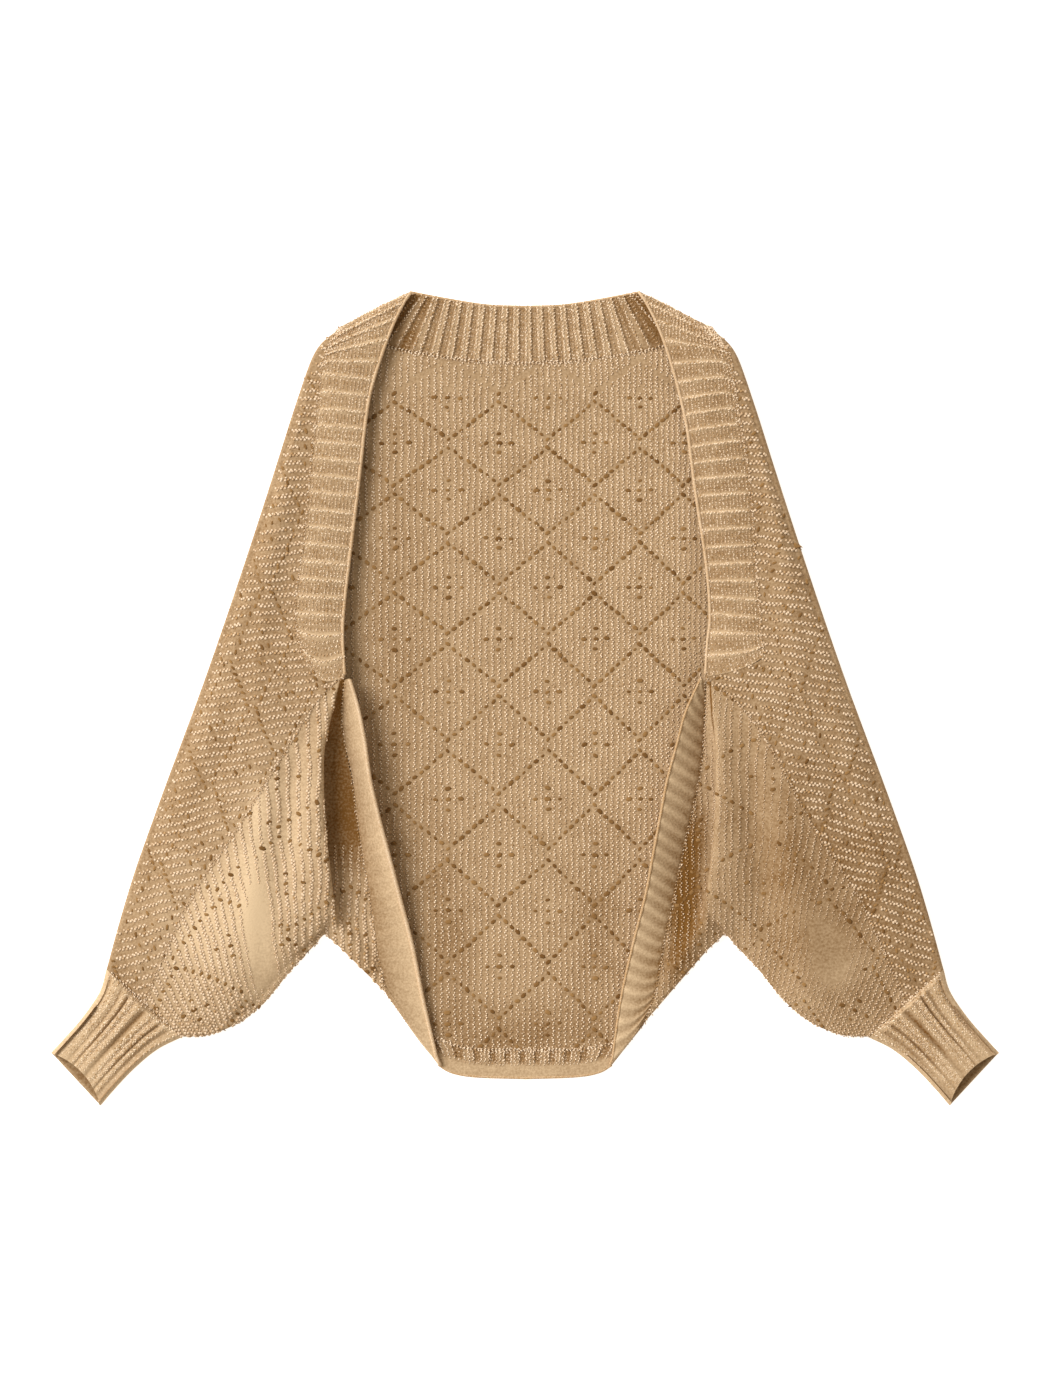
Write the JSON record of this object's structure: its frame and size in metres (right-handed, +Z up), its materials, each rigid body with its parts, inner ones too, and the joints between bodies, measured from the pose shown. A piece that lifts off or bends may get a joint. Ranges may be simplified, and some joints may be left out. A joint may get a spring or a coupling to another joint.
{
  "type": "knitted shrug",
  "caption": "Open-front knitted shrug with batwing sleeves, a ribbed rim and ribbed cuffs, laid flat on its back.",
  "frame": {"origin": "middle of the flat underside, on the surface that the garment lies on", "axes": "+X from the left cuff to the right cuff as seen, +Y from hem to neck, +Z up from the surface"},
  "size_m": [0.856, 0.735, 0.0289],
  "materials": {
    "lace_knit": "soft camel yarn, openwork diamond knit, slightly fuzzy",
    "rib_knit": "soft camel yarn, ribbed knit, slightly fuzzy"
  },
  "bodies": {
    "root": {"back_panel": "lace_knit", "sleeve_left": "lace_knit", "sleeve_right": "lace_knit", "cuff_left": "rib_knit", "cuff_right": "rib_knit", "neck_band": "rib_knit", "front_band_left": "rib_knit", "front_band_right": "rib_knit", "side_band_left": "rib_knit", "side_band_right": "rib_knit", "hem_band": "rib_knit"}
  },
  "joints": []
}
